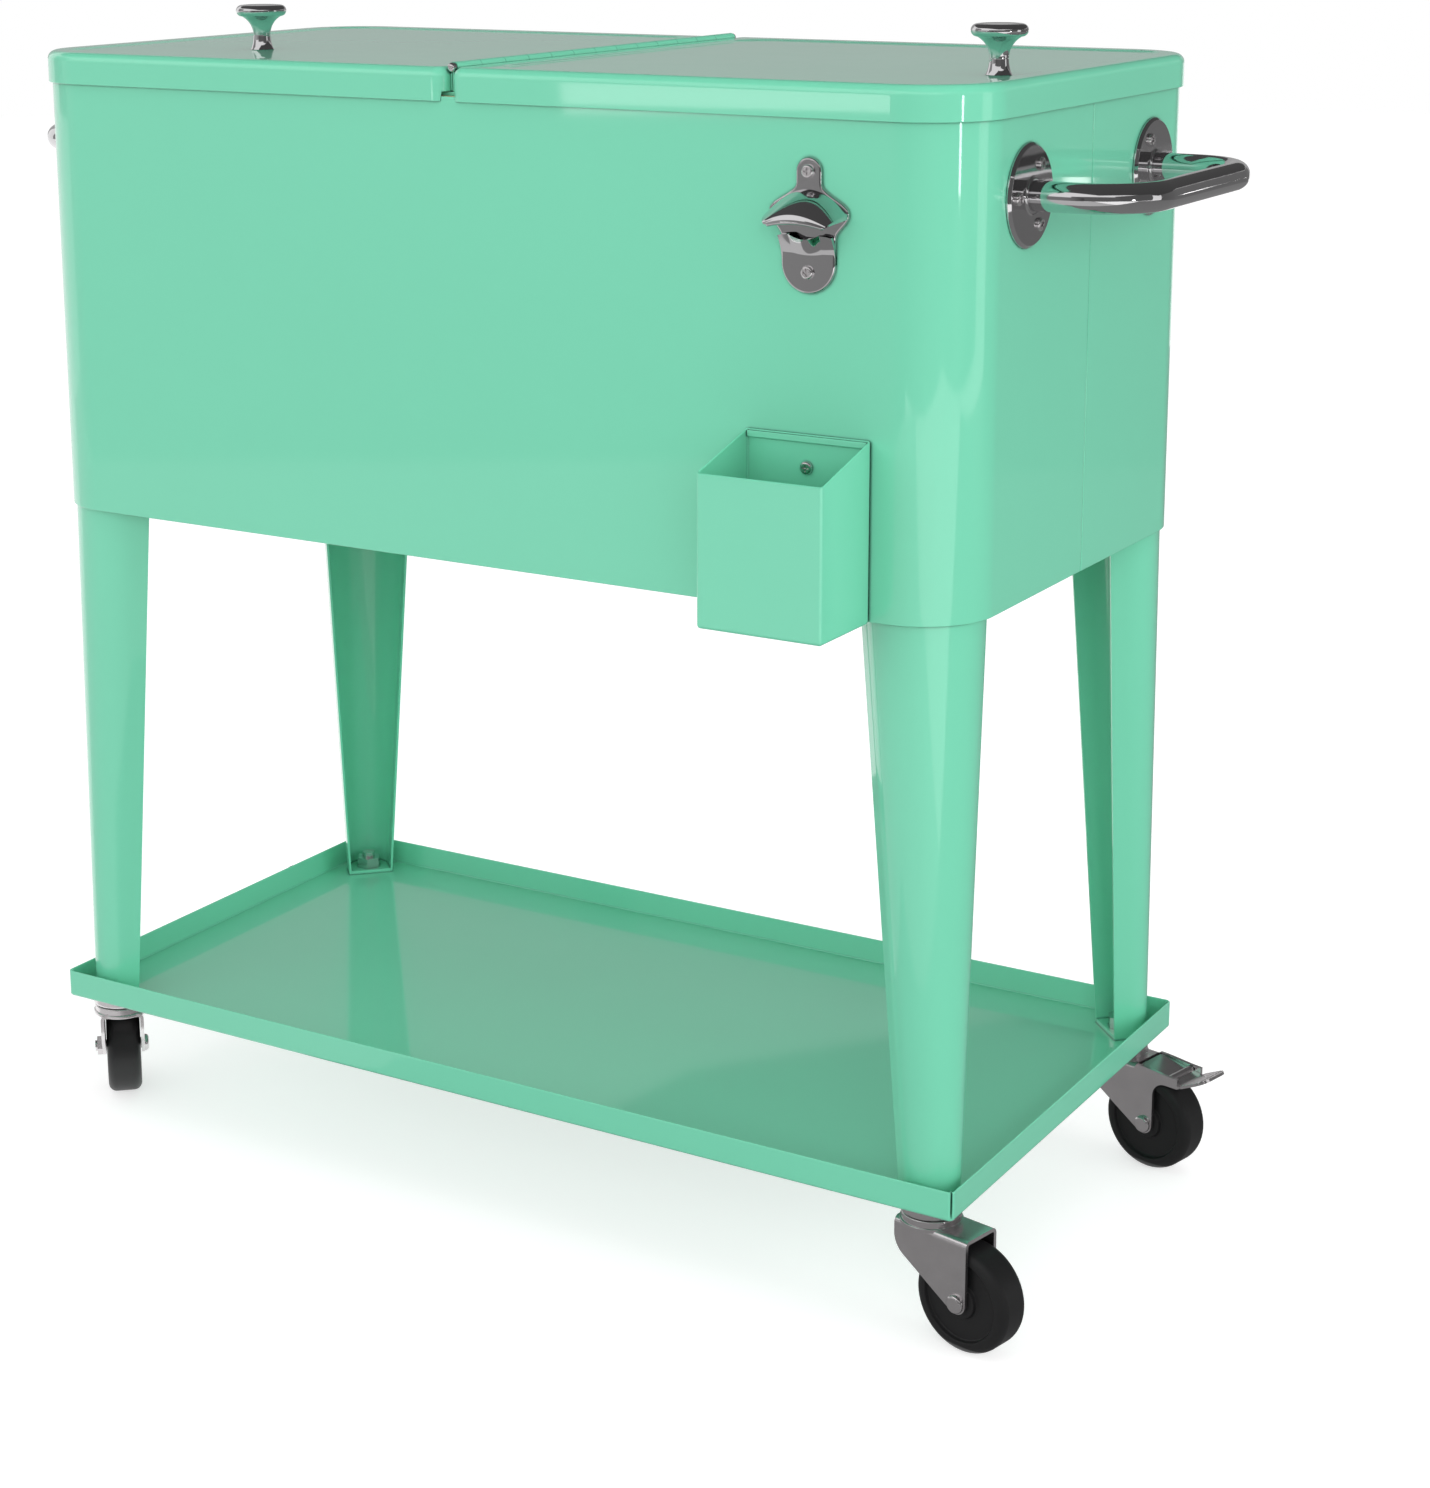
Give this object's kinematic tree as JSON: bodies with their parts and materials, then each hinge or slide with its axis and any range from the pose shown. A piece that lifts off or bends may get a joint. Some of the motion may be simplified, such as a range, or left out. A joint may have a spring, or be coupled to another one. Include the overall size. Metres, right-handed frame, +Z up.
{
  "type": "rolling patio cooler",
  "caption": "Mint steel patio cooler with two hinged half lids, end handles, bottle opener, cap catcher, folded legs, a lower shelf and swivel casters.",
  "frame": {"origin": "on the floor under the middle of the whole outline, which runs from the cap catcher's front to the lids' back edge and from one handle to the other", "axes": "+Z up, front with the opener and the cap catcher towards -Y, +X to the right seen from the front"},
  "size_m": [0.86, 0.4198, 0.8018],
  "materials": {
    "painted_steel": "glossy powder coat",
    "chrome": "polished",
    "bright_steel": "zinc plated, satin",
    "wheel_black": "satin",
    "liner": "matte white",
    "foam": "matte foam"
  },
  "bodies": {
    "frame": {"tub_skin": "painted_steel", "tub_base": "painted_steel", "tub_foam": "foam", "tub_liner": "liner", "tub_rim": "liner", "centre_bar": "painted_steel", "hinge_pin": "bright_steel", "left_handle": "chrome", "left_handle_flanges": "chrome", "left_handle_screws": "bright_steel", "right_handle": "chrome", "right_handle_flanges": "chrome", "right_handle_screws": "bright_steel", "bottle_opener": "chrome", "opener_screws": "bright_steel", "catcher_screws": "bright_steel", "front_left_leg": "painted_steel", "front_right_leg": "painted_steel", "rear_left_leg": "painted_steel", "rear_right_leg": "painted_steel", "leg_bolts": "bright_steel", "shelf": "painted_steel", "stem_nuts": "bright_steel", "drain_spout": "liner", "front_left_caster_stem": "bright_steel", "front_right_caster_stem": "bright_steel", "rear_left_caster_stem": "bright_steel", "rear_right_caster_stem": "bright_steel"},
    "left_lid_assembly": {"left_lid": "painted_steel", "left_lid_panel": "liner", "left_hinge_leaf": "painted_steel", "left_knob": "chrome", "left_knob_screw": "bright_steel"},
    "right_lid_assembly": {"right_lid": "painted_steel", "right_lid_panel": "liner", "right_hinge_leaf": "painted_steel", "right_knob": "chrome", "right_knob_screw": "bright_steel"},
    "catcher": {"cap_catcher": "painted_steel"},
    "plug": {"drain_plug": "liner"},
    "front_left_swivel": {"front_left_fork": "bright_steel", "front_left_axle": "bright_steel"},
    "front_left_roller": {"front_left_wheel": "wheel_black"},
    "front_right_swivel": {"front_right_fork": "bright_steel", "front_right_axle": "bright_steel"},
    "front_right_roller": {"front_right_wheel": "wheel_black"},
    "rear_left_swivel": {"rear_left_fork": "bright_steel", "rear_left_axle": "bright_steel"},
    "rear_left_roller": {"rear_left_wheel": "wheel_black"},
    "rear_right_swivel": {"rear_right_fork": "bright_steel", "rear_right_axle": "bright_steel"},
    "rear_right_roller": {"rear_right_wheel": "wheel_black"},
    "rear_left_pedal": {"rear_left_brake_pedal": "bright_steel"},
    "rear_right_pedal": {"rear_right_brake_pedal": "bright_steel"}
  },
  "joints": [
    {"name": "left_lid_hinge", "type": "hinge", "parent": "frame", "child": "left_lid_assembly", "pos_m": [0, 0.0289, 0.7721], "axis": [0, 1, 0], "range_deg": [0, 84]},
    {"name": "right_lid_hinge", "type": "hinge", "parent": "frame", "child": "right_lid_assembly", "pos_m": [0, 0.0289, 0.7721], "axis": [0, -1, 0], "range_deg": [0, 84]},
    {"name": "catcher_lift", "type": "slide", "parent": "frame", "child": "catcher", "axis": [0, 0, 1], "range_m": [0, 0.009]},
    {"name": "plug_pull", "type": "slide", "parent": "frame", "child": "plug", "axis": [-1, 0, 0], "range_m": [0, 0.017]},
    {"name": "front_left_swivel", "type": "hinge", "parent": "frame", "child": "front_left_swivel", "pos_m": [-0.33, -0.1226, 0.0745], "axis": [0, 0, 1], "continuous": true},
    {"name": "front_left_spin", "type": "hinge", "parent": "front_left_swivel", "child": "front_left_roller", "pos_m": [-0.35108, -0.09919, 0.0345], "axis": [-0.7431, -0.6691, 0], "continuous": true},
    {"name": "front_right_swivel", "type": "hinge", "parent": "frame", "child": "front_right_swivel", "pos_m": [0.33, -0.1226, 0.0745], "axis": [0, 0, 1], "continuous": true},
    {"name": "front_right_spin", "type": "hinge", "parent": "front_right_swivel", "child": "front_right_roller", "pos_m": [0.36081, -0.12915, 0.0345], "axis": [0.2079, 0.9781, 0], "continuous": true},
    {"name": "rear_left_swivel", "type": "hinge", "parent": "frame", "child": "rear_left_swivel", "pos_m": [-0.33, 0.1804, 0.0745], "axis": [0, 0, 1], "continuous": true},
    {"name": "rear_left_spin", "type": "hinge", "parent": "rear_left_swivel", "child": "rear_left_roller", "pos_m": [-0.36119, 0.17602, 0.0345], "axis": [0.1392, -0.9903, 0], "continuous": true},
    {"name": "rear_left_brake", "type": "hinge", "parent": "rear_left_swivel", "child": "rear_left_pedal", "pos_m": [-0.38001, 0.17337, 0.0715], "axis": [0.1392, -0.9903, 0], "range_deg": [0, 5]},
    {"name": "rear_right_swivel", "type": "hinge", "parent": "frame", "child": "rear_right_swivel", "pos_m": [0.33, 0.1804, 0.0745], "axis": [0, 0, 1], "continuous": true},
    {"name": "rear_right_spin", "type": "hinge", "parent": "rear_right_swivel", "child": "rear_right_roller", "pos_m": [0.36069, 0.17331, 0.0345], "axis": [0.225, 0.9744, 0], "continuous": true},
    {"name": "rear_right_brake", "type": "hinge", "parent": "rear_right_swivel", "child": "rear_right_pedal", "pos_m": [0.37921, 0.16904, 0.0715], "axis": [0.225, 0.9744, 0], "range_deg": [0, 5]}
  ]
}
